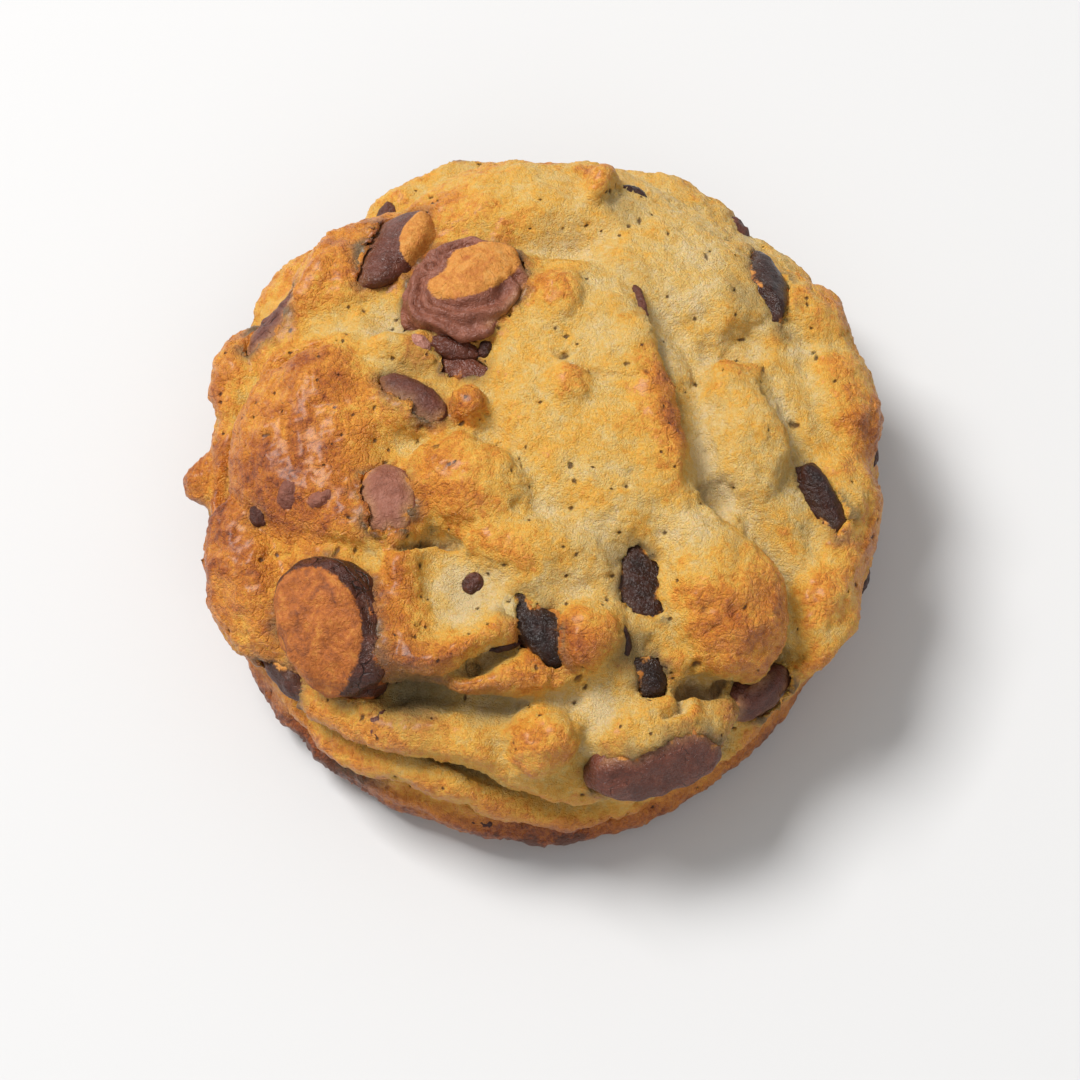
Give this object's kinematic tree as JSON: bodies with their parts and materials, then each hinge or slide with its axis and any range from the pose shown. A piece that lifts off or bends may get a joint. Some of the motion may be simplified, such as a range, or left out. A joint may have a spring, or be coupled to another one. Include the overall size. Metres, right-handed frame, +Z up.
{
  "type": "chocolate chip cookie",
  "caption": "Thick round bakery-style chocolate chip cookie: a lumpy golden dough mound with folded sides, a flat underside and dark chocolate chunks sunk in its surface.",
  "frame": {"origin": "centre of the cookie's bounding box in plan, on its flat underside", "axes": "+Z up, +X to the cookie's right, -Y its front, where the folds of dough show"},
  "size_m": [0.0946, 0.0969, 0.0365],
  "materials": {
    "dough": "matt baked cookie dough, golden with orange-brown high spots",
    "chocolate": "dark chocolate, satin where it melted and set again"
  },
  "bodies": {
    "root": {"dough": "dough", "chunk_half_moon": "chocolate", "chunk_swirl": "chocolate", "chunk_swirl_tail": "chocolate", "chunk_left_slit": "chocolate", "chunk_grey": "chocolate", "chunk_round": "chocolate", "chunk_capped": "chocolate", "chunk_left_rim": "chocolate", "chunk_left_edge": "chocolate", "chunk_middle": "chocolate", "chunk_triangle": "chocolate", "chunk_lower": "chocolate", "chunk_front": "chocolate", "chunk_right_low": "chocolate", "chunk_right_sliver": "chocolate", "chunk_upper_right": "chocolate", "chunk_base_left": "chocolate", "chunk_back": "chocolate", "chunk_back_right": "chocolate", "chunk_back_left": "chocolate"}
  },
  "joints": []
}
